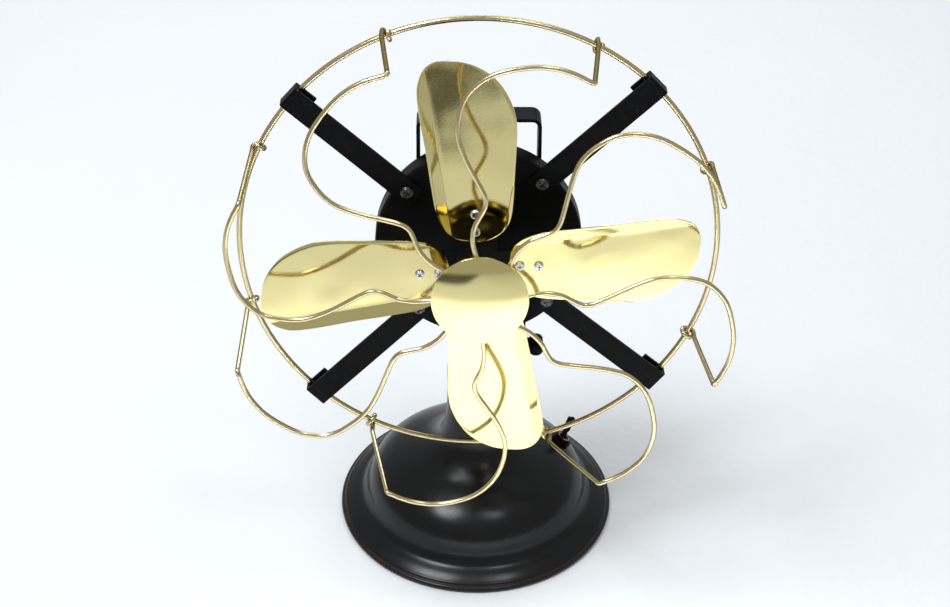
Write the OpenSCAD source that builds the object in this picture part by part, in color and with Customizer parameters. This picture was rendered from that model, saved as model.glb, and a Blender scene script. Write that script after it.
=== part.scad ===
// Desk fan with a wire guard, four brass blades, a drum motor that tilts on a
// knuckle, and a heavy bell-shaped base. The origin is the middle of the base
// on the table, +Z is up and the fan blows towards -Y.

/* [Base] */
// Radius of the bell base at the table
base_r = 108; // [104:1:116]
// Height of the tilt pivot above the table
pivot_h = 158; // [158:1:170]
// Radius of the neck of the base
neck_r = 22.5; // [21:0.5:24]

/* [Head] */
// Height of the motor axis above the table at the middle of the guard ring
axis_h = 274; // [268:1:290]
// How far the guard ring stands in front of the neck
ring_forward = 27; // [24:1:34]
// Upward tilt of the motor axis at rest, degrees
rest_tilt = 7.5; // [0:0.5:12]
// Radius of the motor's front drum
motor_r = 74.5; // [70:0.5:80]

/* [Guard] */
// Radius of the guard ring to the middle of its wire
ring_r = 172; // [168:1:180]
// Radius of the ring's wire
ring_wire_r = 2; // [1.5:0.1:2.5]
// Radius of the wire of the eight petals
petal_wire_r = 1.8; // [1.4:0.1:2]
// Distance from the ring's plane forward to the corners of the petals
guard_depth = 79; // [74:1:84]
// Radius of the badge in the middle of the guard
badge_r = 33.7; // [30:0.1:36]

/* [Rotor] */
// Distance from the ring's plane forward to the blades' roots
blade_forward = 40; // [38:1:46]
// Pitch of the blades, degrees, before each one's own bend
blade_pitch = 0.5; // [0:0.5:8]
// Extra bend of the stiffening lip along each blade's forward edge, degrees
lip_bend = 20; // [10:1:30]
// Thickness of a blade
blade_t = 1; // [0.8:0.1:1.4]

/* [Hidden] */
$fn = 72;
GAP = 0.3;      // air between bodies that move against each other
FIT = 0.05;     // radial running fit of a shaft or pin
wall = 2;       // pressed steel of the motor casings
face_w = 5;     // the motor's front face, measured forward from the ring's plane
drum_w = -10;   // back edge of the front drum
strut_t = 2.5;
strut_width = 17;
screw_ring_r = 67;
shaft_r = 4;
badge_w = 87.6;
barrel_left = -14;
barrel_right = 33;
ear_t = 2.5;
bolt_r = 3.5;
lever_turn = 16;

// ---------- curves ----------

function unit(v) = v / norm(v);
function polar(r, a) = [r * cos(a), r * sin(a)];

// One span of a Catmull-Rom curve, t from 0 at b to 1 at c
function span(a, b, c, d, t) =
    0.5 * (2 * b + (c - a) * t + (2 * a - 5 * b + 4 * c - d) * t * t
    + (3 * b - a - 3 * c + d) * t * t * t);

// A smooth open curve through the points, n steps to a span
function curve(p, n) = concat(
    [for (i = [0 : len(p) - 2], k = [0 : n - 1])
        span(p[max(i - 1, 0)], p[i], p[i + 1], p[min(i + 2, len(p) - 1)], k / n)],
    [p[len(p) - 1]]);

// A smooth closed curve through the points
function closed_curve(p, n) = [for (i = [0 : len(p) - 1], k = [0 : n - 1])
    span(p[(i + len(p) - 1) % len(p)], p[i], p[(i + 1) % len(p)], p[(i + 2) % len(p)], k / n)];

// A round wire along a route of 3-D points
module wire(route, r, sides = 8) {
    last = len(route) - 1;
    way = [for (i = [0 : last]) unit(route[min(i + 1, last)] - route[max(i - 1, 0)])];
    start = unit(cross(way[0], [0.31, 0.17, 0.94]));
    side = [for (i = 0, s = start; i <= last; i = i + 1,
        s = i > last ? s : unit(s - (s * way[min(i, last)]) * way[min(i, last)])) s];
    rings = [for (i = [0 : last], k = [0 : sides - 1])
        let (up = cross(way[i], side[i]))
        route[i] + r * (cos(360 * k / sides) * side[i] + sin(360 * k / sides) * up)];
    walls = [for (i = [0 : last - 1], k = [0 : sides - 1])
        let (a = i * sides + k, b = i * sides + (k + 1) % sides)
        each [[a, a + sides, b], [b, a + sides, b + sides]]];
    caps = [[for (k = [0 : sides - 1]) k],
        [for (k = [sides - 1 : -1 : 0]) last * sides + k]];
    polyhedron(points = rings, faces = concat(walls, caps));
}

// ---------- frames of the assembly ----------

// The head's own frame: x to the right, y up the ring's plane, z forward
module head_frame() {
    translate([0, -ring_forward, axis_h])
        rotate([90 - rest_tilt, 0, 0])
            children();
}

// How each hand-fitted blade sits, in degrees: turned on the spider, twisted and leaning back
blade_sit = [[-1.3, -0.8, 1.3], [0.6, -1.5, 2.6], [1.7, 1.2, -2.2], [2.6, 0.2, 0.9]];

// The frame of one blade: x outward along the blade, z out of its front face
module blade_frame(k) {
    head_frame()
        rotate([0, 0, 90 * k + blade_sit[k][0]])
            translate([0, 0, blade_forward])
                rotate([blade_pitch + blade_sit[k][1], blade_sit[k][2], 0])
                    children();
}

// Where each strut is screwed to the motor's face, and how far it leans off the radius there
strut_at = [48.4, 139.7, 229.8, 317.8];
strut_lean = [-4.8, -1.4, -5.3, 2.3];

// The frame of one strut: its origin is the screw, x runs along the strut
module strut_frame(k) {
    head_frame()
        rotate([0, 0, strut_at[k]])
            translate([screw_ring_r, 0, 0])
                rotate([0, 0, strut_lean[k]])
                    children();
}

// The frame of the switch on the shoulder of the bell: z out of the surface
module switch_frame() {
    rotate([0, 0, lever_turn])
        translate([70.6, 0, 44.2])
            rotate([0, 36, 0])
                children();
}

module tube(outer, inner, from, to) {
    translate([0, 0, from])
        difference() {
            cylinder(h = to - from, r = outer);
            translate([0, 0, -1])
                cylinder(h = to - from + 2, r = inner);
        }
}

// A pan-head screw that points down from z = 0, with a cross recess
module pan_screw(head_r, head_h, shank_r, length) {
    difference() {
        union() {
            cylinder(h = head_h * 0.6, r = head_r);
            translate([0, 0, head_h * 0.6])
                cylinder(h = head_h * 0.4, r1 = head_r, r2 = head_r * 0.72);
            translate([0, 0, -length])
                cylinder(h = length, r = shank_r);
        }
        for (a = [0, 90])
            rotate([0, 0, a])
                translate([-head_r * 0.55, -head_r * 0.11, head_h * 0.45])
                    cube([head_r * 1.1, head_r * 0.22, head_h]);
    }
}

// ---------- base ----------

bell_outer = [
    [base_r - 0.5, 0.5], [base_r, 2], [base_r - 0.7, 3.6], [base_r - 2, 4.3],
    [base_r - 2.9, 4.6], [base_r - 4, 5.8], [base_r - 5.8, 6.7], [98, 9], [92, 11.8], [88.6, 15.5], [86.4, 20], [85, 25.5],
    [82, 33], [76.5, 40], [67.5, 46.5], [56.5, 52], [45.5, 57], [36, 63], [29, 71],
    [25, 83], [neck_r + 0.9, 98], [neck_r + 0.1, 115], [neck_r, 137], [neck_r - 1.6, 141],
    [neck_r - 3, 142]
];
// The inner wall leaves the metal 3 to 5 mm thick
bell_inner = [
    [18, 142], [18, 100], [20.5, 84], [25, 72], [33, 62], [43, 55], [54, 49.5],
    [65, 43.5], [73, 37.5], [78, 30.5], [81, 22], [83.5, 14.5], [90, 8.6], [98, 5],
    [103, 4], [103, 0.5]
];

module base_shell() color([0.07, 0.07, 0.08]) {
    difference() {
        rotate_extrude($fn = 120)
            polygon(concat(curve(bell_outer, 3), bell_inner));
        switch_frame()
            translate([0, 0, -15])
                cylinder(h = 30, r = 5.2);
        translate([0, base_r, 26])
            rotate([90, 0, 0])
                cylinder(h = 40, r = 7);
        translate([0, neck_r + 2, 130])
            rotate([90, 0, 0])
                cylinder(h = 10, r = 2.5);
    }
}

module base_plate() color([0.30, 0.30, 0.31]) {
    difference() {
        translate([0, 0, 2])
            cylinder(h = 2, r = 102.7);
        base_screw_places()
            translate([0, 0, -5])
                cylinder(h = 20, r = 2.1);
    }
}

module base_screw_places() {
    for (a = [45 : 90 : 315])
        rotate([0, 0, a])
            translate([94, 0, 0])
                children();
}

module base_screws() color([0.62, 0.62, 0.60]) {
    base_screw_places()
        translate([0, 0, 2])
            mirror([0, 0, 1])
                pan_screw(3.4, 1.4, 2, 3.6);
}

module base_felt() color([0.12, 0.20, 0.14]) {
    difference() {
        cylinder(h = 2, r = 101);
        base_screw_places()
            translate([0, 0, -1])
                cylinder(h = 4, r = 4.5);
    }
}

// The inlet for the mains lead at the back of the bell
module cord_grommet() color([0.10, 0.10, 0.10]) {
    translate([0, 0, 26])
        rotate([-90, 0, 0]) {
            tube(6.9, 3.6, 76, 88);
            tube(9.2, 3.6, 88, 90.5);
        }
}

module speed_coil() color([0.55, 0.30, 0.16]) {
    translate([-36, 12, 0]) {
        tube(19, 8, 4, 28);
        for (z = [9, 19])
            tube(20.5, 8, z, z + 4);
    }
}

module switch_bush() color([0.72, 0.60, 0.34]) {
    switch_frame()
        tube(5, 4.2, -9.5, 5);
}

module switch_nut() color([0.06, 0.06, 0.07]) {
    switch_frame()
        difference() {
            union() {
                translate([0, 0, 1.4])
                    cylinder(h = 1.2, r = 8);
                translate([0, 0, 2.6])
                    cylinder(h = 2, r = 6.6, $fn = 6);
            }
            cylinder(h = 20, r = 5, center = true);
        }
}

module speed_switch() color([0.20, 0.16, 0.13]) {
    switch_frame() {
        difference() {
            translate([-9, -10, -27])
                cube([18, 20, 17.5]);
            translate([0, 0, -14])
                cylinder(h = 10, r = 4.2);
        }
        for (y = [-6, 0, 6])
            translate([-1, y - 1.5, -31])
                cube([2, 3, 4]);
    }
}

// Flat lever with a square end that rocks in the bush on a cross pin
module speed_lever() color([0.05, 0.05, 0.06]) {
    switch_frame()
        translate([0, 0, 1])
            rotate([0, -15, 0]) {
                sphere(r = 3.6);
                rotate([90, 0, 0])
                    cylinder(h = 7.9, r = 1.2, center = true);
                translate([-1.8, -1.3, 0])
                    cube([3.6, 2.6, 12]);
                translate([-2.6, -1.3, 10])
                    cube([5.2, 2.6, 13]);
            }
}

module neck_knuckle() color([0.07, 0.07, 0.08]) {
    difference() {
        union() {
            translate([0, 0, 120])
                cylinder(h = 22, r = 17.9);
            translate([0, 0, 142])
                cylinder(h = 3.6, r1 = 19, r2 = 14);
            translate([0, 0, 142])
                cylinder(h = pivot_h - 142, r = 11);
            translate([barrel_left, 0, pivot_h])
                rotate([0, 90, 0])
                    cylinder(h = barrel_right - barrel_left, r = 12);
        }
        translate([barrel_left - 1, 0, pivot_h])
            rotate([0, 90, 0])
                cylinder(h = barrel_right - barrel_left + 2, r = bolt_r + FIT);
        translate([0, 20, 130])
            rotate([90, 0, 0])
                cylinder(h = 8, r = 2.5);
    }
}

module neck_set_screw() color([0.30, 0.30, 0.30]) {
    difference() {
        translate([0, neck_r + 0.6, 130])
            rotate([90, 0, 0])
                cylinder(h = neck_r - 12, r = 2.45);
        translate([-3, neck_r - 0.6, 129.6])
            cube([6, 4, 0.8]);
    }
}

// ---------- tilt joint ----------

// The bolt is fixed in the knuckle; its left head is a hexagon
module tilt_bolt() color([0.25, 0.25, 0.26]) {
    left = barrel_left - GAP - ear_t - GAP;
    translate([left - 4, 0, pivot_h])
        rotate([0, 90, 0]) {
            cylinder(h = 4, r = 7, $fn = 6);
            cylinder(h = barrel_right - left + 4 + 13, r = bolt_r);
        }
}

// Hand nut on the right end of the bolt: a flange, a waist and a round knob
module thumb_nut() color([0.05, 0.05, 0.06]) {
    translate([barrel_right + GAP + ear_t + GAP, 0, pivot_h])
        rotate([0, 90, 0])
            difference() {
                union() {
                    cylinder(h = 2, r = 7);
                    cylinder(h = 6, r = 5.6);
                    rotate_extrude()
                        polygon(concat([[0, 3.6], [5, 3.6]],
                            [for (a = [-80 : 20 : 80]) [4.9 + 3.7 * cos(a), 8.8 + 5.2 * sin(a)]],
                            [[0, 14.2]]));
                }
                translate([0, 0, -1])
                    cylinder(h = 13, r = bolt_r + FIT);
            }
}

// U-shaped yoke under the motor: two ears hold the knuckle between them
module tilt_yoke() color([0.07, 0.07, 0.08]) {
    left = barrel_left - GAP - ear_t;
    right = barrel_right + GAP;
    difference() {
        union() {
            for (x = [left, right])
                translate([x, 0, 0])
                    yoke_ear();
            head_frame()
                translate([left + 1, -motor_seat_v - 2.5, -38])
                    cube([right + ear_t - left - 2, 2.5, 24]);
        }
        translate([left - 5, 0, pivot_h])
            rotate([0, 90, 0])
                cylinder(h = right - left + 15, r = bolt_r + FIT);
        yoke_screw_places()
            cylinder(h = 12, r = 2.1, center = true);
    }
}

motor_seat_v = 60;

// Heights and depths of the seat plate's two edges, in the stand's frame
function seat_point(v, w) = [
    -ring_forward + v * sin(rest_tilt) - w * cos(rest_tilt),
    axis_h + v * cos(rest_tilt) + w * sin(rest_tilt)
];

module yoke_ear() {
    front = seat_point(-motor_seat_v - 1.2, -15);
    back = seat_point(-motor_seat_v - 1.2, -37);
    rotate([90, 0, 90])
        linear_extrude(ear_t)
            union() {
                circle_at(0, pivot_h, 11.5);
                polygon([[-11.5, pivot_h], [11.5, pivot_h], back, front]);
            }
}

module circle_at(x, y, r) {
    translate([x, y])
        circle(r = r);
}

module yoke_screw_places() {
    head_frame()
        for (x = [-8, 26])
            translate([x, -motor_seat_v - 2.5, -26])
                rotate([90, 0, 0])
                    children();
}

module yoke_screws() color([0.30, 0.30, 0.30]) {
    yoke_screw_places()
        pan_screw(4, 2.4, 2, 6);
}

// ---------- motor ----------

module motor_front_cover() color([0.06, 0.06, 0.07]) {
    head_frame()
        difference() {
            rotate_extrude($fn = 120)
                polygon(concat(
                    [[9, face_w], [motor_r - 2.5, face_w]],
                    [for (a = [75 : -25 : 0]) [motor_r - 2.5 + 2.5 * cos(a), face_w - 2.5 + 2.5 * sin(a)]],
                    [[motor_r, drum_w], [motor_r - wall, drum_w], [motor_r - wall, face_w - wall],
                    [12, face_w - wall], [12, -7], [9, -7]]));
            for (a = strut_at)
                rotate([0, 0, a])
                    translate([screw_ring_r, 0, -5])
                        cylinder(h = 20, r = 2);
            for (a = [0 : 90 : 270])
                rotate([0, 0, a])
                    translate([motor_r - 5, 0, drum_w - 1])
                        cylinder(h = 2, r = 1);
        }
}

module motor_rear_housing() color([0.06, 0.06, 0.07]) {
    head_frame()
        difference() {
            union() {
                rotate_extrude($fn = 120)
                    polygon(concat(
                        [[motor_r, drum_w], [motor_r, drum_w - 2.5], [58, drum_w - 2.5], [58, -40]],
                        [for (a = [15 : 15 : 75]) [44 + 14 * cos(a), -40 - 14 * sin(a)]],
                        [[44, -54], [22, -57], [12, -58], [12, -66], [0, -66], [0, -64], [8, -64],
                        [8, -50], [10, -50], [10, -55.4], [22, -54.6], [43, -51.6]],
                        [for (a = [75 : -15 : 15]) [44 + 11.5 * cos(a), -40 - 11.5 * sin(a)]],
                        [[55.5, -40], [55.5, drum_w]]));
                difference() {
                    translate([barrel_left - 1, -motor_seat_v, -38])
                        cube([barrel_right - barrel_left + 2, 30, 24]);
                    translate([0, 0, -60])
                        cylinder(h = 60, r = 57, $fn = 120);
                }
            }
            for (x = [-8, 26])
                translate([x, -motor_seat_v - 1, -26])
                    rotate([-90, 0, 0])
                        cylinder(h = 5, r = 2 + FIT);
            handle_screw_places()
                cylinder(h = 12, r = 1.6, center = true);
            cover_screw_places()
                cylinder(h = 12, r = 1.6, center = true);
        }
}

module cover_screw_places() {
    for (a = [0 : 90 : 270])
        rotate([0, 0, a])
            translate([motor_r - 8, 0, drum_w - 2.5])
                rotate([180, 0, 0])
                    children();
}

module cover_screws() color([0.30, 0.30, 0.30]) {
    head_frame()
        cover_screw_places()
            pan_screw(3, 1.8, 1.5, 6);
}

module stator_core() color([0.45, 0.45, 0.47]) {
    head_frame()
        difference() {
            tube(55.2, 31.2, -37, -16);
            for (a = [0 : 30 : 330])
                rotate([0, 0, a])
                    translate([33, -2.5, -40])
                        cube([12, 5, 30]);
        }
}

module stator_windings() color([0.65, 0.33, 0.14]) {
    head_frame()
        for (z = [-15.8, -43.2])
            translate([0, 0, z])
                rotate_extrude()
                    translate([40, 3])
                        circle(r = 3);
    head_frame()
        for (a = [0 : 30 : 330])
            rotate([0, 0, a])
                translate([40, 0, -38.2])
                    cylinder(h = 23.4, r = 2.2);
}

module front_bearing() color([0.70, 0.52, 0.28]) {
    head_frame()
        tube(8.98, shaft_r + FIT, -7, 6.5);
}

module rear_bearing() color([0.70, 0.52, 0.28]) {
    head_frame()
        tube(7.98, shaft_r + FIT, -63, -50);
}

module motor_shaft() color([0.70, 0.70, 0.72]) {
    head_frame()
        translate([0, 0, -62])
            cylinder(h = blade_forward + 64, r = shaft_r);
}

module rotor_core() color([0.50, 0.50, 0.52]) {
    head_frame()
        tube(30.6, shaft_r + 0.02, -37, -16);
}

// ---------- carrying handle ----------

handle_x = 44.5;
handle_v = 90;
handle_bend = 7;
handle_t = 2.5;
handle_front = -14;
handle_width = 21;
handle_foot_a = 68;
housing_r = 58;

// Right half of the strip's outline, from the top's middle round the foot and back
function handle_half() =
    let (
        bend = [handle_x - handle_bend, handle_v - handle_bend],
        rest = acos(handle_x / housing_r),
        inside = acos((handle_x - handle_t) / (housing_r + handle_t))
    )
    concat(
        [for (a = [90 : -15 : 0]) bend + polar(handle_bend, a)],
        [for (a = [rest, 46, 53, 60, handle_foot_a]) polar((housing_r + FIT) / cos(4), a)],
        [for (a = [handle_foot_a, 60, 53, inside]) polar(housing_r + handle_t, a)],
        [for (a = [0 : 15 : 90]) bend + polar(handle_bend - handle_t, a)]
    );

module carry_handle() color([0.06, 0.06, 0.07]) {
    half = handle_half();
    last = len(half) - 1;
    head_frame()
        difference() {
            translate([0, 0, handle_front - handle_width])
                linear_extrude(handle_width)
                    polygon(concat(half, [for (i = [last : -1 : 0]) [-half[i][0], half[i][1]]]));
            handle_screw_places()
                cylinder(h = 8, r = 2.1, center = true);
        }
}

module handle_screw_places() {
    for (side = [0, 1])
        mirror([side, 0, 0])
            rotate([0, 0, handle_foot_a - 8])
                translate([housing_r + handle_t, 0, handle_front - handle_width / 2])
                    rotate([0, 90, 0])
                        children();
}

module handle_screws() color([0.30, 0.30, 0.30]) {
    head_frame()
        handle_screw_places()
            pan_screw(3.6, 2.2, 1.55, 5);
}

// ---------- guard ----------

// Flat bar from the motor's face out to the ring, with its end bent to a hook
module strut(k) color([0.05, 0.05, 0.06]) {
    hook_back = -ring_wire_r - FIT;
    hook_in = ring_r + ring_wire_r + FIT - screw_ring_r * cos(strut_lean[k]);
    hook_out = hook_in + strut_t;
    strut_frame(k)
        difference() {
            translate([0, strut_width / 2, 0])
                rotate([90, 0, 0])
                    linear_extrude(strut_width)
                        polygon([
                            [-9, face_w], [hook_in, face_w], [hook_in, hook_back],
                            [hook_in - 16, hook_back], [hook_in - 16, hook_back - strut_t],
                            [hook_out - 1, hook_back - strut_t], [hook_out, hook_back - strut_t + 1],
                            [hook_out, face_w + strut_t - 1], [hook_out - 1, face_w + strut_t],
                            [-9, face_w + strut_t]]);
            cylinder(h = 20, r = 2.1);
        }
}

module strut_screws() color([0.10, 0.10, 0.11]) {
    for (k = [0 : 3])
        strut_frame(k)
            translate([0, 0, face_w + strut_t])
                rotate([0, 0, 17 * k])
                    pan_screw(4.6, 3, 1.95, 8);
}

module guard_ring() color([0.74, 0.64, 0.38]) {
    head_frame()
        rotate_extrude($fn = 144)
            translate([ring_r, 0])
                circle(r = ring_wire_r, $fn = 24);
}

// Route of a petal as [radius, angle past its corner], from the hub outward
petal_plan = [
    [12, 12], [22, 21], [33, 27.5], [45, 29], [57, 26], [69, 21], [79, 22], [100, 29],
    [121, 32], [140, 30.5], [156, 27], [169, 21], [178, 12.5], [180, 6], [178.7, 1.3]
];
petal_hub_w = 84;
petal_corner_r = 178.6;
corner_turn = 21.2;
loop_turn = 19.2;

// How far each hand-bent petal strays from the plan, in degrees, at these distances out
stray_r = [12, 45, 90, 130, 163, 178.6];
petal_stray = [
    [0, 5.2, 3.2, 4, 3.3, 1.1], [0, 1.5, -0.3, -1.2, -0.6, -1.3],
    [0, 0.5, 0.8, 1.2, 1, -0.8], [0, -1.8, 0, 0.4, 1.7, 0.3],
    [0, -1.5, -3.8, -3.5, -0.9, -1.2], [0, -1, 1.5, 0.4, 0.1, 2],
    [0, 1.5, 4.7, 5.5, 3.4, 7.8], [0, 0, -2.5, -1.5, 0.5, 0]
];
// The same for the corner's distance out, in mm, and the coil's place on the ring, in degrees
corner_stray = [-0.4, -4, -3, -1.5, 2.2, -0.7, 1.5, 2.8];
loop_stray = [1.4, -1.5, 3.2, 0.5, -2.1, -0.9, -1.1, 0.4];

function petal_w(r) = petal_hub_w - (petal_hub_w - guard_depth) * max(0, r - 35) / 143;

// A point of petal k from its planned distance out and its planned angle past the corner
function petal_point(k, r, a) =
    let (
        stray = lookup(r, [for (i = [0 : 5]) [stray_r[i], petal_stray[k][i]]]),
        out = r + corner_stray[k] * max(0, r - 130) / (petal_corner_r - 130),
        q = polar(out, corner_turn + 45 * k + a + stray)
    )
    [q[0], q[1], petal_w(r)];

function petal_route(k) =
    let (
        face = curve([for (p = petal_plan) petal_point(k, p[0], p[1])], 3),
        end = face[len(face) - 1],
        coil_r = ring_wire_r + petal_wire_r + 0.15,
        loop_a = loop_turn + 45 * k + loop_stray[k],
        out = [cos(loop_a), sin(loop_a), 0],
        along = [-sin(loop_a), cos(loop_a), 0],
        forward = [0, 0, 1],
        coil = [for (a = [0 : 30 : 330])
            out * (ring_r + coil_r * cos(a)) - forward * coil_r * sin(a) - along * 4.6 * a / 360],
        corner = petal_point(k, petal_corner_r, 0),
        leg = unit(coil[0] + 6 * forward - corner),
        bend = [corner + unit(end - corner) * 1.1 + leg * 0.5, corner + leg * 2.2, corner + leg * 4.5]
    )
    concat(face, bend, [coil[0] + 9 * forward, coil[0] + 3 * forward], coil);

module guard_wire(k) color([0.78, 0.68, 0.42]) {
    head_frame()
        wire(petal_route(k), petal_wire_r);
}

// Shallow dished badge with a turned rim and a stud on its back
module hub_badge() color([0.85, 0.72, 0.40]) {
    dish = 4;
    dish_r = (badge_r * badge_r + dish * dish) / (2 * dish);
    head_frame() {
        rotate_extrude($fn = 96)
            polygon(concat(
                [[badge_r, badge_w - 1.5], [badge_r, badge_w]],
                [for (s = [0.96, 0.85, 0.7, 0.5, 0.3, 0.1, 0])
                    let (r = badge_r * s) [r, badge_w + sqrt(dish_r * dish_r - r * r) - dish_r + dish]],
                [for (s = [0, 0.1, 0.3, 0.5, 0.7, 0.85, 0.95])
                    let (r = badge_r * s) [r, badge_w + sqrt(dish_r * dish_r - r * r) - dish_r + dish - 1.2]],
                [[badge_r - 1.2, badge_w - 1.5]]));
        translate([0, 0, 76])
            cylinder(h = badge_w + 3.5 - 76, r = 3);
    }
}

module hub_back_plate() color([0.70, 0.60, 0.34]) {
    head_frame()
        tube(26, 3.1, petal_hub_w - petal_wire_r - 1.65, petal_hub_w - petal_wire_r - 0.05);
}

module hub_nut() color([0.70, 0.62, 0.40]) {
    top = petal_hub_w - petal_wire_r - 1.65;
    head_frame()
        difference() {
            translate([0, 0, top - 3])
                cylinder(h = 3, r = 5.8, $fn = 6);
            cylinder(h = 200, r = 3.02, center = true);
        }
}

// ---------- blades ----------

blade_edge = [
    [20.8, 0], [22.3, 14], [26.5, 21], [33, 26], [45, 30.2], [61, 32.7], [75, 34.6], [90, 36.4],
    [105, 38.8], [120, 40.9], [133, 41.9], [141, 40.6], [147.5, 37.8], [152, 33.5], [154.6, 27.5],
    [155, 21], [154.3, 14], [152.5, 5.5], [149, -2.3], [144.5, -8.8], [138.5, -14.8], [131, -19.6],
    [123, -23.2], [114, -25.7], [103, -26.5], [88, -25.9], [70, -24.9], [55, -24.2], [42, -22.9],
    [34, -20.5], [27.5, -15.8], [23, -9]
];
crease_start = [28, 19.1];
crease_turn = 8;
blade_screw_s = [28.6, 42];
blade_screw_c = 2.5;

module blade_screw_places(k) {
    blade_frame(k)
        for (s = blade_screw_s)
            translate([s, blade_screw_c, 0])
                children();
}

// Cross-section of the bent sheet, with the crease at its origin
module blade_section() {
    far = 60;
    miter = blade_t * tan(lip_bend / 2);
    polygon([
        [-far, 0], [0, 0], [far * cos(lip_bend), far * sin(lip_bend)],
        [far * cos(lip_bend) - blade_t * sin(lip_bend), far * sin(lip_bend) + blade_t * cos(lip_bend)],
        [-miter, blade_t], [-far, blade_t]]);
}

module blade(k) color([0.82, 0.72, 0.40]) {
    difference() {
        blade_frame(k)
            intersection() {
                translate([crease_start[0], crease_start[1], 0])
                    rotate([0, 0, crease_turn])
                        translate([-40, 0, 0])
                            rotate([90, 0, 90])
                                linear_extrude(200)
                                    blade_section();
                translate([0, 0, -5])
                    linear_extrude(40)
                        polygon(closed_curve(blade_edge, 2));
            }
        blade_screw_places(k)
            cylinder(h = 20, r = 2.05, center = true);
    }
}

module blade_spider() color([0.05, 0.05, 0.06]) {
    difference() {
        union() {
            head_frame()
                translate([0, 0, 12])
                    cylinder(h = blade_forward - 14, r = 11);
            head_frame()
                translate([0, 0, blade_forward - 6])
                    cylinder(h = 5.5, r = 17);
            for (k = [0 : 3])
                blade_frame(k)
                    translate([8, -13, -2.55])
                        cube([44, 26, 2.5]);
        }
        head_frame()
            cylinder(h = 100, r = shaft_r + 0.02);
        for (k = [0 : 3])
            blade_screw_places(k)
                cylinder(h = 20, r = 2.05, center = true);
        head_frame()
            translate([0, 0, 20])
                rotate([90, 0, 0])
                    cylinder(h = 15, r = 2);
    }
}

module spider_set_screw() color([0.30, 0.30, 0.30]) {
    head_frame()
        translate([0, -4.1, 20])
            rotate([90, 0, 0])
                cylinder(h = 6.5, r = 1.98);
}

module blade_screws() color([0.78, 0.77, 0.74]) {
    for (k = [0 : 3])
        blade_screw_places(k)
            translate([0, 0, blade_t])
                rotate([0, 0, 25 * k])
                    pan_screw(3.3, 2, 2, 6);
}

module blade_nuts() color([0.60, 0.60, 0.58]) {
    for (k = [0 : 3])
        blade_screw_places(k)
            translate([0, 0, -4.95])
                difference() {
                    cylinder(h = 2.4, r = 3.7, $fn = 6);
                    translate([0, 0, -1])
                        cylinder(h = 5, r = 2.02);
                }
}

// ---------- the parts ----------

base_shell();
base_plate();
base_felt();
base_screws();
cord_grommet();
speed_coil();
speed_switch();
switch_bush();
switch_nut();
speed_lever();
neck_knuckle();
neck_set_screw();
tilt_bolt();
thumb_nut();
tilt_yoke();
yoke_screws();
motor_front_cover();
motor_rear_housing();
cover_screws();
stator_core();
stator_windings();
front_bearing();
rear_bearing();
motor_shaft();
rotor_core();
carry_handle();
handle_screws();
for (k = [0 : 3])
    strut(k);
strut_screws();
guard_ring();
for (k = [0 : 7])
    guard_wire(k);
hub_badge();
hub_back_plate();
hub_nut();
blade_spider();
spider_set_screw();
for (k = [0 : 3])
    blade(k);
blade_screws();
blade_nuts();
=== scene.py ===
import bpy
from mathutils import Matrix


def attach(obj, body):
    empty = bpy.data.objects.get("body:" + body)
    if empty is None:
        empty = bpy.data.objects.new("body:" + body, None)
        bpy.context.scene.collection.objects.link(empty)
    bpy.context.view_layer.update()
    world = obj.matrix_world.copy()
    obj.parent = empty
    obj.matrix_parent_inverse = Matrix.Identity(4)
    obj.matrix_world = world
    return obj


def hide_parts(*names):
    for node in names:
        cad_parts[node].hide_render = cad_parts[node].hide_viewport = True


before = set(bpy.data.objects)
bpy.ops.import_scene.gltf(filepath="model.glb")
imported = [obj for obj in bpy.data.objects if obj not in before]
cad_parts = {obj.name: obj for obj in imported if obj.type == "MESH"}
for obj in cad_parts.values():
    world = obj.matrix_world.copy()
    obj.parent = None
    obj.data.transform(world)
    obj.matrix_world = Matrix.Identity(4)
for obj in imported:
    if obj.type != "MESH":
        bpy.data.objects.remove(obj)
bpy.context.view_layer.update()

import math

import bpy
from mathutils import Matrix, Vector

# ---------- camera, table and light ----------
# The fan is seen from in front and above, as someone standing at the table sees it.
# A wide pale table lies under it, lit by soft boxes above, behind and in front of the fan.
# Its far corner in front, which only the top blade mirrors, is painted nearly black in its colour: painted shade
# for a dark room.


def alone():
    """Nothing is selected, so that an operator acts only on what is added next."""
    bpy.ops.object.select_all(action="DESELECT")


alone()
bpy.ops.object.camera_add(
    location=(-0.01867, -1.28762, 1.17335),
    rotation=(math.radians(52.835), math.radians(-0.382), math.radians(-0.458)),
)
camera = bpy.context.object
camera.name = "camera"
camera.data.lens = 81.42
camera.data.sensor_width = 36
camera.data.clip_start = 0.05
camera.data.clip_end = 40
bpy.context.scene.camera = camera
bpy.context.scene.view_settings.view_transform = "Standard"
bpy.context.scene.view_settings.exposure = -0.2


def new_material(name, **sockets):
    """A material whose numbers that are the same all over are set on the shader itself."""
    made = bpy.data.materials.new(name)
    made.use_nodes = True
    shader = made.node_tree.nodes["Principled BSDF"]
    for socket, value in sockets.items():
        shader.inputs[socket.replace("_", " ")].default_value = value
    return made


def add_node(material, kind, inputs={}, **settings):
    """One node in the material; an input is a number, a colour or another node's output."""
    made = material.node_tree.nodes.new("ShaderNode" + kind)
    for name, value in settings.items():
        setattr(made, name, value)
    for name, value in inputs.items():
        if isinstance(value, bpy.types.NodeSocket):
            material.node_tree.links.new(value, made.inputs[name])
        else:
            made.inputs[name].default_value = value
    return made


def drive(material, socket, output):
    shader = material.node_tree.nodes["Principled BSDF"]
    material.node_tree.links.new(output, shader.inputs[socket])


def where(material, stretch=(1, 1, 1), turn=(0, 0, 0)):
    """Places on the piece in metres, stretched or turned for a directional pattern."""
    place = add_node(material, "TexCoord")
    return add_node(
        material, "Mapping", {"Vector": place.outputs["Object"], "Scale": stretch, "Rotation": turn}
    ).outputs["Vector"]


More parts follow.
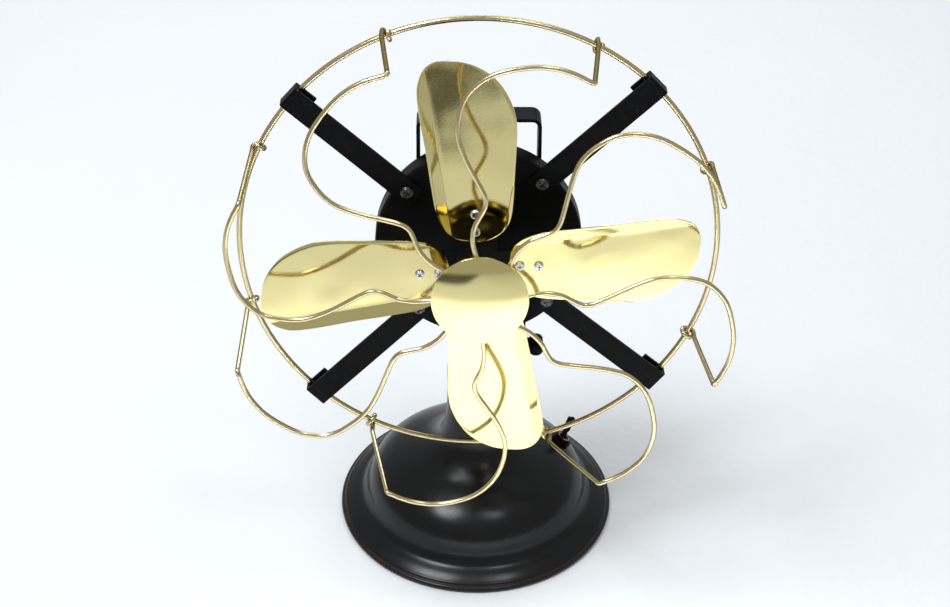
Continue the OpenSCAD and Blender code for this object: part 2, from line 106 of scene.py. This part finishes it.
def cloudy(material, place, scale, low, high, detail=3.0, rough=0.55):
    """Soft noise of that many patches per metre, spread from low to high."""
    noise = add_node(
        material, "TexNoise", {"Vector": place, "Scale": scale, "Detail": detail, "Roughness": rough}
    )
    return add_node(
        material,
        "MapRange",
        {"Value": noise.outputs["Fac"], "From Min": 0.3, "From Max": 0.7, "To Min": low, "To Max": high},
    ).outputs["Result"]


def between(material, fac, a, b):
    """Colour a where fac is 0 and b where it is 1."""
    mix = add_node(material, "Mix", data_type="RGBA")
    for index, value in ((0, fac), (6, a), (7, b)):
        if isinstance(value, bpy.types.NodeSocket):
            material.node_tree.links.new(value, mix.inputs[index])
        else:
            mix.inputs[index].default_value = value
    return mix.outputs[2]


def bumped(material, height, distance, under=None):
    """Relief of that many metres; under is the normal below it."""
    bump = add_node(material, "Bump", {"Height": height, "Distance": distance})
    if under:
        material.node_tree.links.new(under, bump.inputs["Normal"])
    return bump.outputs["Normal"]


table_white = new_material("table_white", Roughness=0.62)
table_place = where(table_white)
table_colour = between(
    table_white, cloudy(table_white, table_place, 1.7, 0, 1), (0.80, 0.82, 0.84, 1), (0.84, 0.855, 0.87, 1)
)
spots = add_node(table_white, "SeparateXYZ", {"Vector": table_place})
slanted = add_node(
    table_white, "Math", {0: spots.outputs["X"], 1: 6.0, 2: spots.outputs["Y"]}, operation="MULTIPLY_ADD"
).outputs["Value"]


def painted_shade_ramp(distance, start, end):
    """Painted shade: nothing at the start and 1 at the end of that way towards the table's far corner."""
    return add_node(
        table_white,
        "MapRange",
        {"Value": distance, "From Min": start, "From Max": end},
        interpolation_type="SMOOTHSTEP",
    ).outputs["Result"]


# Painted shade: the table's colour turns nearly black towards its far corner in front, for the top blade to
# mirror.
painted_shade = add_node(
    table_white,
    "Math",
    {0: painted_shade_ramp(slanted, -2.0, -2.6), 1: painted_shade_ramp(spots.outputs["Y"], -1.3, -1.6)},
    operation="MULTIPLY",
).outputs["Value"]
drive(table_white, "Base Color", between(table_white, painted_shade, table_colour, (0.07, 0.065, 0.05, 1)))
drive(table_white, "Normal", bumped(table_white, cloudy(table_white, table_place, 60, 0, 1), 0.0004))

alone()
bpy.ops.mesh.primitive_plane_add(size=1, location=(0, 0.05, -0.0005))
table = bpy.context.object
table.name = "table"
table.scale = (4.4, 4.9, 1)
bpy.ops.object.transform_apply(location=True, rotation=True, scale=True)
table.data.materials.append(table_white)

room = bpy.data.worlds.new("room")
bpy.context.scene.world = room
room.use_nodes = True
room_nodes, room_links = room.node_tree.nodes, room.node_tree.links
direction = room_nodes.new("ShaderNodeTexCoord")
apart = room_nodes.new("ShaderNodeSeparateXYZ")
room_links.new(direction.outputs["Generated"], apart.inputs[0])


def brighter(axis, start, end):
    """Nothing before the start and 1 past the end, by how far a direction points along an axis."""
    ramp = room_nodes.new("ShaderNodeMapRange")
    ramp.interpolation_type = "SMOOTHSTEP"
    ramp.inputs["From Min"].default_value = start
    ramp.inputs["From Max"].default_value = end
    room_links.new(apart.outputs[axis], ramp.inputs["Value"])
    return ramp.outputs[0]


either = room_nodes.new("ShaderNodeMath")
either.operation = "MAXIMUM"
room_links.new(brighter("Z", 0.1, 0.95), either.inputs[0])
room_links.new(brighter("Y", -0.2, 0.9), either.inputs[1])
room_colour = room_nodes.new("ShaderNodeMix")
room_colour.data_type = "RGBA"
room_colour.inputs[6].default_value = (0.54, 0.54, 0.49, 1)
room_colour.inputs[7].default_value = (0.66, 0.685, 0.715, 1)
room_links.new(either.outputs[0], room_colour.inputs[0])
room_links.new(room_colour.outputs[2], room_nodes["Background"].inputs["Color"])
room_nodes["Background"].inputs["Strength"].default_value = 0.85


def softbox(name, place, target, width, height, watts, colour=(1, 1, 1), spread=180):
    """A soft rectangular light that faces the target; a grid may narrow its spread, in degrees."""
    alone()
    bpy.ops.object.light_add(type="AREA", location=place)
    light = bpy.context.object
    light.name = name
    light.rotation_euler = (Vector(target) - Vector(place)).to_track_quat("-Z", "Y").to_euler()
    light.data.shape = "RECTANGLE"
    light.data.size, light.data.size_y = width, height
    light.data.energy = watts
    light.data.color = colour
    light.data.spread = math.radians(spread)


softbox("light_over", (-0.77, -0.50, 2.1), (-0.02, -0.04, 0.06), 0.55, 0.55, 32, (0.93, 0.97, 1))
softbox("light_small", (0.42, -0.56, 1.95), (0.01, -0.07, 0.05), 0.3, 0.3, 5, (0.9, 0.95, 1))
softbox("light_back", (0.1, 1.9, 1.8), (0, 0.6, 0), 1.8, 0.7, 19)
softbox("light_front", (0.08, -0.52, 0.9), (0.08, -0.521, 0), 0.7, 0.16, 3.9, spread=46)

# ---------- the cast base ----------
# A heavy bell of cast iron, turned on its outside, with a rolled foot and a slender
# neck. It is sprayed with black enamel that has worn to brown along the foot's edge.


def smooth_line(points, steps):
    """A smooth open curve through the points, with that many steps to a span."""
    points = [Vector(p) for p in points]
    made = []
    for i in range(len(points) - 1):
        a, b, c, d = (points[min(max(j, 0), len(points) - 1)] for j in (i - 1, i, i + 1, i + 2))
        for k in range(steps):
            t = k / steps
            made.append(
                0.5
                * (
                    2 * b
                    + (c - a) * t
                    + (2 * a - 5 * b + 4 * c - d) * t * t
                    + (3 * b - a - 3 * c + d) * t * t * t
                )
            )
    return made + [points[-1]]


def turned(name, stations, around):
    """A piece turned on a lathe about Z: rings at [radius, height] in mm, one after the other.
    The last ring closes to a point if its radius is nothing, or joins the first if it is there."""
    alone()
    r, z = stations[0]
    bpy.ops.mesh.primitive_circle_add(vertices=around, radius=r / 1000, location=(0, 0, z / 1000))
    made = bpy.context.object
    made.name = name
    bpy.ops.object.mode_set(mode="EDIT")
    bpy.ops.mesh.select_all(action="SELECT")
    for r1, z1 in stations[1:]:
        bpy.ops.mesh.extrude_region_move(TRANSFORM_OT_translate={"value": (0, 0, (z1 - z) / 1000)})
        factor = max(r1, 0.001) / r
        bpy.ops.transform.resize(value=(factor, factor, 1), center_override=(0, 0, z1 / 1000))
        r, z = max(r1, 0.001), z1
    bpy.ops.mesh.select_all(action="SELECT")
    bpy.ops.mesh.remove_doubles(threshold=0.000004)
    bpy.ops.mesh.normals_make_consistent(inside=False)
    bpy.ops.object.mode_set(mode="OBJECT")
    return made


def settle(piece, frame_of_piece=Matrix.Identity(4)):
    """Moves a piece made about the origin into its place and leaves the place in its mesh."""
    alone()
    piece.select_set(True)
    bpy.context.view_layer.objects.active = piece
    piece.matrix_world = frame_of_piece @ piece.matrix_world
    bpy.ops.object.transform_apply(location=True, rotation=True, scale=True)


def smooth(piece, degrees):
    """Shades the piece smooth, except where it turns by more than that."""
    alone()
    piece.select_set(True)
    bpy.context.view_layer.objects.active = piece
    bpy.ops.object.shade_smooth_by_angle(angle=math.radians(degrees))


def finished(piece, body, material, slot, *nodes):
    """Gives the piece its finish, the body that it moves with and the CAD nodes it stands for."""
    piece.data.materials.clear()
    piece.data.materials.append(material)
    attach(piece, body)
    if nodes:
        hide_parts(*nodes)


def enamel(name, edge, haze, shine):
    """Black stoving enamel over metal: fine orange peel, faint dust and edges rounded by the coat."""
    made = new_material(name, Specular_IOR_Level=shine)
    place = where(made)
    dust = cloudy(made, place, 46, 0, 1, 5, 0.65)
    body = between(made, dust, (0.0030, 0.0030, 0.0034, 1), (0.0052, 0.0052, 0.0058, 1))
    drive(made, "Base Color", body)
    drive(made, "Roughness", cloudy(made, place, 70, haze - 0.03, haze + 0.05, 4, 0.6))
    soft = add_node(made, "Bevel", {"Radius": edge}, samples=4).outputs["Normal"] if edge else None
    drive(made, "Normal", bumped(made, cloudy(made, place, 900, 0, 1, 1), 0.000012, soft))
    return made


bell_enamel = enamel("bell_enamel", 0, 0.23, 0.27)
bell_place = where(bell_enamel)
bell_height = add_node(bell_enamel, "SeparateXYZ", {"Vector": bell_place}).outputs["Z"]
rim_near = add_node(
    bell_enamel, "MapRange", {"Value": bell_height, "From Min": 0.0030, "From Max": 0.0040}
).outputs["Result"]
rim_past = add_node(
    bell_enamel, "MapRange", {"Value": bell_height, "From Min": 0.0052, "From Max": 0.0044}
).outputs["Result"]
rim_band = add_node(bell_enamel, "Math", {0: rim_near, 1: rim_past}, operation="MULTIPLY").outputs["Value"]
rubs = cloudy(bell_enamel, bell_place, 34, 0, 0.5, 4, 0.7)
rubbed = add_node(bell_enamel, "Math", {0: rim_band, 1: rubs}, operation="MULTIPLY").outputs["Value"]
enamel_colour = bell_enamel.node_tree.nodes["Principled BSDF"].inputs["Base Color"].links[0].from_socket
drive(bell_enamel, "Base Color", between(bell_enamel, rubbed, enamel_colour, (0.05, 0.024, 0.017, 1)))

bell_outline = smooth_line(
    [
        (107.4, 0.5), (107.9, 2), (107.3, 3.6), (106, 4.3), (105.1, 4.6), (104, 5.8), (102.2, 6.7),
        (98, 9), (92, 11.8), (88.6, 15.5), (86.4, 20), (85, 25.5), (82, 33), (76.5, 40),
        (67.5, 46.5), (56.5, 52), (45.5, 57), (36, 63), (29, 71), (25, 83), (23.4, 98), (22.6, 115),
        (22.5, 137), (20.9, 141), (19.5, 142),
    ],
    4,
)
bell_inside = [
    (18, 142), (18, 100), (20.5, 84), (25, 72), (33, 62), (43, 55), (54, 49.5), (65, 43.5),
    (73, 37.5), (78, 30.5), (81, 22), (83.5, 14.5), (90, 8.6), (98, 5), (103, 4), (103, 0.5),
    (107.5, 0.5),
]
bell = turned("base_bell", [tuple(p) for p in bell_outline] + bell_inside, 160)
settle(bell)
smooth(bell, 40)
finished(bell, "base", bell_enamel, "black_enamel", "base_shell")


def dress(material, *nodes):
    """Gives CAD nodes that stay a better material, in their own slots."""
    for name in nodes:
        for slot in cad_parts[name].material_slots:
            slot.material = material


# ---------- under the base ----------
# A grey zinc-plated plate closes the bell from below, held by four pan-head screws, and a
# disc of green felt is glued to it so that the fan doesn't scratch the table.

zinc = new_material("zinc_plate", Metallic=0.9)
zinc_place = where(zinc)
drive(
    zinc,
    "Base Color",
    between(zinc, cloudy(zinc, zinc_place, 120, 0, 1, 5), (0.30, 0.31, 0.32, 1), (0.46, 0.47, 0.48, 1)),
)
drive(zinc, "Roughness", cloudy(zinc, zinc_place, 70, 0.34, 0.55))
drive(zinc, "Normal", bumped(zinc, cloudy(zinc, zinc_place, 500, 0, 1), 0.00003))
dress(zinc, "base_plate", "blade_nuts")

felt = new_material("felt", Roughness=0.95, Sheen_Weight=0.3, Specular_IOR_Level=0.15)
felt_place = where(felt)
drive(
    felt,
    "Base Color",
    between(
        felt,
        cloudy(felt, felt_place, 900, 0, 1, 6, 0.7),
        (0.012, 0.034, 0.018, 1),
        (0.035, 0.075, 0.042, 1),
    ),
)
drive(felt, "Normal", bumped(felt, cloudy(felt, felt_place, 1400, 0, 1, 5, 0.7), 0.0003))
dress(felt, "base_felt")

steel = new_material("screw_steel", Metallic=1.0)
steel_place = where(steel)
drive(
    steel,
    "Base Color",
    between(steel, cloudy(steel, steel_place, 300, 0, 1), (0.17, 0.165, 0.16, 1), (0.29, 0.285, 0.28, 1)),
)
drive(steel, "Roughness", cloudy(steel, steel_place, 420, 0.28, 0.46, 4))
drive(
    steel,
    "Normal",
    bumped(
        steel,
        cloudy(steel, steel_place, 1500, 0, 1),
        0.00001,
        add_node(steel, "Bevel", {"Radius": 0.0002}, samples=4).outputs["Normal"],
    ),
)
dress(steel, "base_screws", "neck_set_screw", "cover_screws")
dress(steel, "yoke_screws", "handle_screws", "spider_set_screw")

# ---------- inlet for the lead ----------
# A black rubber grommet lines the hole at the back of the bell where the mains lead enters.

rubber = new_material("grommet_rubber", Roughness=0.6, Specular_IOR_Level=0.35)
rubber_place = where(rubber)
drive(
    rubber,
    "Base Color",
    between(rubber, cloudy(rubber, rubber_place, 260, 0, 1), (0.010, 0.010, 0.011, 1), (0.026, 0.025, 0.024, 1)),
)
drive(
    rubber,
    "Normal",
    bumped(
        rubber,
        cloudy(rubber, rubber_place, 1100, 0, 1, 4),
        0.00004,
        add_node(rubber, "Bevel", {"Radius": 0.0005}, samples=4).outputs["Normal"],
    ),
)
dress(rubber, "cord_grommet")

# ---------- speed switch ----------
# The coil and the switch sit inside the bell: copper wire on a former, and a moulded
# phenolic box. A threaded brass bush and a black nut hold the switch in the shoulder.

copper = new_material("copper_wire", Metallic=0.85)
copper_place = where(copper)
strands = add_node(
    copper,
    "TexWave",
    {"Vector": copper_place, "Scale": 260, "Distortion": 1.2, "Detail": 2},
    bands_direction="Z",
).outputs["Fac"]
drive(copper, "Base Color", between(copper, strands, (0.30, 0.105, 0.045, 1), (0.60, 0.24, 0.10, 1)))
drive(copper, "Roughness", cloudy(copper, copper_place, 200, 0.25, 0.42))
drive(copper, "Normal", bumped(copper, strands, 0.00025))
dress(copper, "speed_coil", "stator_windings")

phenolic = new_material("phenolic", Specular_IOR_Level=0.5)
phenolic_place = where(phenolic)
drive(
    phenolic,
    "Base Color",
    between(
        phenolic,
        cloudy(phenolic, phenolic_place, 420, 0, 1, 6),
        (0.030, 0.018, 0.012, 1),
        (0.075, 0.045, 0.028, 1),
    ),
)
drive(phenolic, "Roughness", cloudy(phenolic, phenolic_place, 90, 0.32, 0.5))
drive(
    phenolic,
    "Normal",
    bumped(
        phenolic,
        cloudy(phenolic, phenolic_place, 800, 0, 1),
        0.00002,
        add_node(phenolic, "Bevel", {"Radius": 0.0005}, samples=4).outputs["Normal"],
    ),
)
dress(phenolic, "speed_switch")

bronze = new_material("bearing_bronze", Metallic=1.0)
bronze_place = where(bronze)
drive(
    bronze,
    "Base Color",
    between(bronze, cloudy(bronze, bronze_place, 240, 0, 1), (0.42, 0.27, 0.10, 1), (0.62, 0.43, 0.19, 1)),
)
drive(bronze, "Roughness", cloudy(bronze, bronze_place, 500, 0.26, 0.42))
drive(bronze, "Normal", bumped(bronze, cloudy(bronze, bronze_place, 1500, 0, 1), 0.00002))
dress(bronze, "switch_bush", "front_bearing", "rear_bearing")

part_enamel = enamel("part_enamel", 0.0005, 0.42, 0.05)
dress(part_enamel, "switch_nut", "speed_lever", "neck_knuckle", "thumb_nut", "tilt_yoke", "blade_spider")

# ---------- motor ----------
# Two pressed-steel casings hold the stator. The front one is a shallow drum whose flat
# face carries the guard's struts; the rear one is a rounded cup with the rear bearing.

dress(part_enamel, "motor_front_cover", "motor_rear_housing", "carry_handle")

laminations = new_material("laminations", Metallic=0.9, Roughness=0.5)
lamination_place = where(laminations)
sheets = add_node(
    laminations,
    "TexWave",
    {"Vector": lamination_place, "Scale": 480, "Distortion": 0.2},
    bands_direction="Y",
).outputs["Fac"]
drive(laminations, "Base Color", between(laminations, sheets, (0.14, 0.14, 0.15, 1), (0.34, 0.34, 0.36, 1)))
drive(laminations, "Normal", bumped(laminations, sheets, 0.0001))
dress(laminations, "stator_core", "rotor_core")

ground = new_material("ground_shaft", Metallic=1.0)
ground_place = where(ground, (1, 40, 40))
drive(
    ground,
    "Base Color",
    between(ground, cloudy(ground, ground_place, 60, 0, 1), (0.46, 0.46, 0.47, 1), (0.62, 0.62, 0.63, 1)),
)
drive(ground, "Roughness", cloudy(ground, ground_place, 90, 0.16, 0.3))
drive(ground, "Normal", bumped(ground, cloudy(ground, ground_place, 200, 0, 1), 0.000008))
dress(ground, "motor_shaft", "tilt_bolt")

# ---------- struts ----------
# Four flat steel bars are screwed to the motor's face and reach out to the guard's ring,
# where each end is bent back round the ring as a hook. They are enamelled like the motor,
# and their screws' enamel is glossier.

dress(part_enamel, "strut_1", "strut_2", "strut_3", "strut_4")
screw_enamel = enamel("screw_enamel", 0.0002, 0.27, 0.7)
dress(screw_enamel, "strut_screws")

# ---------- guard ring ----------
# One hoop of brass-plated steel wire, butt-welded at the bottom.

leans_back = math.radians(7.5)
HEAD = Matrix.Translation((0, -0.027, 0.274)) @ Matrix.Rotation(math.pi / 2 - leans_back, 4, "X")

wire_brass = new_material("wire_brass", Metallic=1.0, Specular_Tint=(0.16, 0.11, 0.06, 1))
wire_place = where(wire_brass)
tint = cloudy(wire_brass, wire_place, 26, 0, 1, 2)
warm = between(wire_brass, tint, (0.66, 0.58, 0.31, 1), (0.70, 0.55, 0.36, 1))
blotch = cloudy(wire_brass, wire_place, 160, 0, 0.35, 5, 0.7)
drive(wire_brass, "Base Color", between(wire_brass, blotch, warm, (0.40, 0.36, 0.20, 1)))
drive(wire_brass, "Roughness", cloudy(wire_brass, wire_place, 300, 0.12, 0.27, 4))
drive(wire_brass, "Normal", bumped(wire_brass, cloudy(wire_brass, wire_place, 1200, 0, 1, 3), 0.00002))

ring_r, ring_wire_r = 172, 2
alone()
bpy.ops.mesh.primitive_torus_add(
    major_radius=ring_r / 1000, minor_radius=ring_wire_r / 1000, major_segments=240, minor_segments=18
)
hoop = bpy.context.object
hoop.name = "ring_hoop"
settle(hoop, HEAD)
smooth(hoop, 60)
finished(hoop, "head", wire_brass, "brass_wire", "guard_ring")

# ---------- guard petals ----------
# Eight lengths of the same wire, each bent by hand into an S from the hub to a corner in
# front of the ring and back to the ring, where its end is wound once round the hoop.


def wire(name, points, radius):
    """A round wire that runs smoothly through the points, in millimetres, as a mesh."""
    alone()
    bpy.ops.curve.primitive_bezier_curve_add(location=(0, 0, 0))
    made = bpy.context.object
    made.name = name
    line = made.data.splines[0]
    line.bezier_points.add(len(points) - 2)
    points = [Vector(p) / 1000 for p in points]
    for i, p in enumerate(points):
        before, after = points[max(i - 1, 0)], points[min(i + 1, len(points) - 1)]
        way = (after - before).normalized()
        knot = line.bezier_points[i]
        knot.handle_left_type = knot.handle_right_type = "FREE"
        knot.co = p
        knot.handle_left = p - way * (p - before).length / 3
        knot.handle_right = p + way * (after - p).length / 3
    made.data.dimensions = "3D"
    made.data.resolution_u = 5
    made.data.bevel_depth = radius / 1000
    made.data.bevel_resolution = 6
    made.data.use_fill_caps = True
    bpy.ops.object.convert(target="MESH")
    made = bpy.context.object
    bpy.ops.object.mode_set(mode="EDIT")
    bpy.ops.mesh.select_all(action="SELECT")
    bpy.ops.mesh.remove_doubles(threshold=0.000004)
    bpy.ops.mesh.normals_make_consistent(inside=False)
    bpy.ops.object.mode_set(mode="OBJECT")
    return made


def at(radius, degrees, ahead):
    """A point of the head in mm: that far out, that far round and that far ahead of the ring."""
    a = math.radians(degrees)
    return Vector((radius * math.cos(a), radius * math.sin(a), ahead))


# The planned line of a petal: distance out in mm and degrees past its corner.
petal_plan = [
    (12, 12), (22, 21), (33, 27.5), (45, 29), (57, 26), (69, 21), (79, 22), (100, 29), (121, 32),
    (140, 30.5), (156, 27), (169, 21), (178, 12.5), (180, 6), (178.7, 1.3),
]
# Each petal is bent by hand, so it strays from the plan: degrees at these distances out,
# then the corner's extra distance out in mm and the coil's place on the ring in degrees.
stray_at = (12, 45, 90, 130, 163, 178.6)
strays = [
    ((0, 5.2, 3.2, 4, 3.3, 1.1), -0.4, 1.4), ((0, 1.5, -0.3, -1.2, -0.6, -1.3), -4, -1.5),
    ((0, 0.5, 0.8, 1.2, 1, -0.8), -3, 3.2), ((0, -1.8, 0, 0.4, 1.7, 0.3), -1.5, 0.5),
    ((0, -1.5, -3.8, -3.5, -0.9, -1.2), 2.2, -2.1), ((0, -1, 1.5, 0.4, 0.1, 2), -0.7, -0.9),
    ((0, 1.5, 4.7, 5.5, 3.4, 7.8), 1.5, -1.1), ((0, 0, -2.5, -1.5, 0.5, 0), 2.8, 0.4),
]


corner_turn, corner_r = 21.2, 178.6
hub_ahead, corner_ahead = 84, 79
drop_from, drop_reach, bulge_from = 35, 143, 130


def petal_point(k, r, past_corner):
    """A point of petal k from its planned distance out and its planned angle past the corner."""
    angles, further, _ = strays[k]
    stray = angles[-1]
    for i in range(len(stray_at) - 1):
        if r <= stray_at[i + 1]:
            share = (r - stray_at[i]) / (stray_at[i + 1] - stray_at[i])
            stray = angles[i] + share * (angles[i + 1] - angles[i])
            break
    out = r + further * max(0, r - bulge_from) / (corner_r - bulge_from)
    drop = (hub_ahead - corner_ahead) * max(0, r - drop_from) / drop_reach
    return at(out, corner_turn + 45 * k + past_corner + stray, hub_ahead - drop)


forward = Vector((0, 0, 1))
petal_wire_r = 1.74
coil_r, coil_pitch, coil_turn = 3.95, 4.6, 19.2
for k in range(8):
    route = smooth_line([petal_point(k, r, a) for r, a in petal_plan], 2)
    turn = coil_turn + 45 * k + strays[k][2]
    out, along = at(1, turn, 0), at(1, turn + 90, 0)
    coil = []
    for a in range(0, 331, 30):
        t = math.radians(a)
        round_hoop = out * coil_r * math.cos(t) - forward * coil_r * math.sin(t)
        coil.append(out * ring_r + round_hoop - along * coil_pitch * a / 360)
    corner = petal_point(k, corner_r, 0)
    leg = (coil[0] + 6 * forward - corner).normalized()
    inward = (route[-1] - corner).normalized()
    route += [corner + inward * 1.1 + leg * 0.5, corner + leg * 2.2, corner + leg * 4.5]
    route += [coil[0] + 9 * forward, coil[0] + 3 * forward] + coil
    petal = wire(f"petal_{k + 1}", route, petal_wire_r)
    settle(petal, HEAD)
    smooth(petal, 60)
    finished(petal, "head", wire_brass, "brass_wire", f"guard_wire_{k + 1}")

# ---------- hub of the guard ----------
# The petals' inner ends are clamped between a flat plate and a shallow polished brass
# badge, whose stud is drawn up by a nut from behind.

polished = new_material("polished_brass", Metallic=1.0)
polished_place = where(polished)
tarnish = cloudy(polished, polished_place, 24, 0, 0.5, 5, 0.6)
drive(polished, "Base Color", between(polished, tarnish, (0.86, 0.755, 0.37, 1), (0.79, 0.68, 0.29, 1)))
scratch_place = where(polished, (1, 14, 1), (0.4, 0.2, 0.7))
scratches = cloudy(polished, scratch_place, 420, 0, 1, 3, 0.7)
scratched = add_node(polished, "MapRange", {"Value": scratches, "To Min": 0.035, "To Max": 0.10})
drive(polished, "Roughness", scratched.outputs["Result"])
hammered = bumped(polished, cloudy(polished, polished_place, 22, 0, 1, 1), 0.00025)
drive(polished, "Normal", bumped(polished, scratches, 0.000004, hammered))
dress(polished, "hub_back_plate", "hub_nut")

badge_r, badge_back, badge_edge = 33.7, 86.1, 87.6
dish = 3.2
dish_r = (badge_r * badge_r + dish * dish) / (2 * dish)
badge_outline = [(badge_r, badge_back), (badge_r, badge_edge)]
for share in (0.985, 0.96, 0.93, 0.88, 0.8, 0.7, 0.6, 0.5, 0.4, 0.3, 0.2, 0.1, 0.03, 0):
    r = badge_r * share
    badge_outline.append((r, badge_edge + math.sqrt(dish_r * dish_r - r * r) - dish_r + dish))
badge = turned("badge", badge_outline, 128)
smooth(badge, 50)


def thickened(piece, thickness, side, edge, segments, sharp):
    """Gives a surface the thickness of its sheet in metres, and rounds edges sharper than that."""
    alone()
    piece.select_set(True)
    bpy.context.view_layer.objects.active = piece
    wall = piece.modifiers.new("wall", "SOLIDIFY")
    wall.thickness, wall.offset = thickness, side
    rim = piece.modifiers.new("rim", "BEVEL")
    rim.width, rim.segments, rim.limit_method = edge, segments, "ANGLE"
    rim.angle_limit = math.radians(sharp)
    for name in ("wall", "rim"):
        bpy.ops.object.modifier_apply(modifier=name)


thickened(badge, 0.0012, -1, 0.0004, 3, 30)
settle(badge, HEAD)
smooth(badge, 50)
finished(badge, "head", polished, "polished_brass", "hub_badge")

# ---------- blades ----------
# Four blades of 1 mm brass sheet, polished to a mirror. Each is nearly flat, with a lip
# folded forward along its leading edge, and is screwed to an arm of the spider.


def even_line(points, rows):
    """The smooth curve through the points, cut into that many rows of equal length."""
    line = smooth_line(points, 6)
    travelled = [0]
    for a, b in zip(line, line[1:]):
        travelled.append(travelled[-1] + (b - a).length)
    made, i = [], 0
    for row in range(rows):
        goal = travelled[-1] * row / (rows - 1)
        while i < len(line) - 2 and travelled[i + 1] < goal:
            i += 1
        share = (goal - travelled[i]) / (travelled[i + 1] - travelled[i])
        made.append(line[i].lerp(line[i + 1], min(1, share)))
    return made


rows = 72
leading_edge = even_line(
    [
        (20.8, 0), (22.3, 14), (26.5, 21), (33, 26), (45, 30.2), (61, 32.7), (75, 34.6), (90, 36.4),
        (105, 38.8), (120, 40.9), (133, 41.9), (141, 40.6), (147.5, 37.8), (152, 33.5), (154.6, 27.5),
        (155, 21),
    ],
    rows,
)
trailing_edge = even_line(
    [
        (20.8, 0), (23, -9), (27.5, -15.8), (34, -20.5), (42, -22.9), (55, -24.2), (70, -24.9),
        (88, -25.9), (103, -26.5), (114, -25.7), (123, -23.2), (131, -19.6), (138.5, -14.8),
        (144.5, -8.8), (149, -2.3), (152.5, 5.5), (154.3, 14), (155, 21),
    ],
    rows,
)
crease_from = Vector((28, 19.1))
crease_turn = math.radians(8)
crease_side = Vector((-math.sin(crease_turn), math.cos(crease_turn)))
lip_bend = math.radians(20)
fold_r = 2.0
panel_steps, lip_steps = 16, 8
# How each blade sits on its arm, in degrees: turned round the shaft, twisted and leaned.
blade_sit = [(-1.3, -0.3, 1.3), (0.6, -1, 2.6), (1.7, 1.7, -2.2), (2.6, 0.7, 0.9)]
blade_ahead = 0.040


def folded(p):
    """Height of the sheet in mm at a point of its plan: flat, then bent forward past the crease."""
    past = (p - crease_from).dot(crease_side)
    if past <= 0:
        return 0
    if past <= fold_r * math.sin(lip_bend):
        return fold_r - math.sqrt(fold_r * fold_r - past * past)
    return fold_r * (1 - math.cos(lip_bend)) + (past - fold_r * math.sin(lip_bend)) * math.tan(lip_bend)


alone()
bpy.ops.mesh.primitive_grid_add(x_subdivisions=rows - 1, y_subdivisions=panel_steps + lip_steps, size=2)
blade = bpy.context.object
blade.name = "blade_a"
for v in blade.data.vertices:
    i = round((v.co.x + 1) / 2 * (rows - 1))
    j = round((v.co.y + 1) / 2 * (panel_steps + lip_steps))
    low, high = trailing_edge[i], leading_edge[i]
    reach = (high - low).dot(crease_side)
    start = (crease_from - low).dot(crease_side)
    share = min(1, start / reach) if reach > 0.01 and start > 0 else 1
    if j <= panel_steps:
        t = share * j / panel_steps
    else:
        q = (j - panel_steps) / lip_steps
        t = share + (1 - share) * q ** 1.6
    p = low.lerp(high, t)
    v.co = Vector((p.x, p.y, folded(p))) / 1000
bpy.ops.object.mode_set(mode="EDIT")
bpy.ops.mesh.select_all(action="SELECT")
bpy.ops.mesh.remove_doubles(threshold=0.00002)
bpy.ops.object.mode_set(mode="OBJECT")
thickened(blade, 0.001, 1, 0.0003, 2, 50)
smooth(blade, 40)
blades = [blade]
for letter in "bcd":
    alone()
    blade.select_set(True)
    bpy.context.view_layer.objects.active = blade
    bpy.ops.object.duplicate(linked=False)
    blades.append(bpy.context.object)
    blades[-1].name = "blade_" + letter
for k, (turn, twist, lean) in enumerate(blade_sit):
    arm = HEAD @ Matrix.Rotation(math.radians(90 * k + turn), 4, "Z") @ Matrix.Translation((0, 0, blade_ahead))
    leaned = Matrix.Rotation(math.radians(lean), 4, "Y") @ Matrix.Rotation(math.radians(twist), 4, "X")
    settle(blades[k], arm @ leaned)
    finished(blades[k], "rotor", polished, "polished_brass", f"blade_{k + 1}")

# ---------- blade screws ----------
# Two nickel-plated cross-head screws hold each blade to its arm; their slots are painted dark from ambient
# occlusion as painted shade.

bright = new_material("nickel_screws", Metallic=1.0)
bright_place = where(bright)
nickel = between(bright, cloudy(bright, bright_place, 400, 0, 1), (0.58, 0.57, 0.55, 1), (0.74, 0.73, 0.71, 1))
# Painted shade: the colour turns nearly black where ambient occlusion finds the slots and recesses.
open_share = add_node(bright, "AmbientOcclusion", {"Distance": 0.0012}, samples=8).outputs["AO"]
unshaded_share = add_node(
    bright, "MapRange", {"Value": open_share, "From Min": 0.45, "From Max": 0.85}
).outputs["Result"]
drive(bright, "Base Color", between(bright, unshaded_share, (0.05, 0.045, 0.04, 1), nickel))
drive(bright, "Roughness", cloudy(bright, bright_place, 600, 0.16, 0.32))
drive(
    bright,
    "Normal",
    bumped(
        bright,
        cloudy(bright, bright_place, 1800, 0, 1),
        0.00001,
        add_node(bright, "Bevel", {"Radius": 0.00015}, samples=4).outputs["Normal"],
    ),
)
dress(bright, "blade_screws")
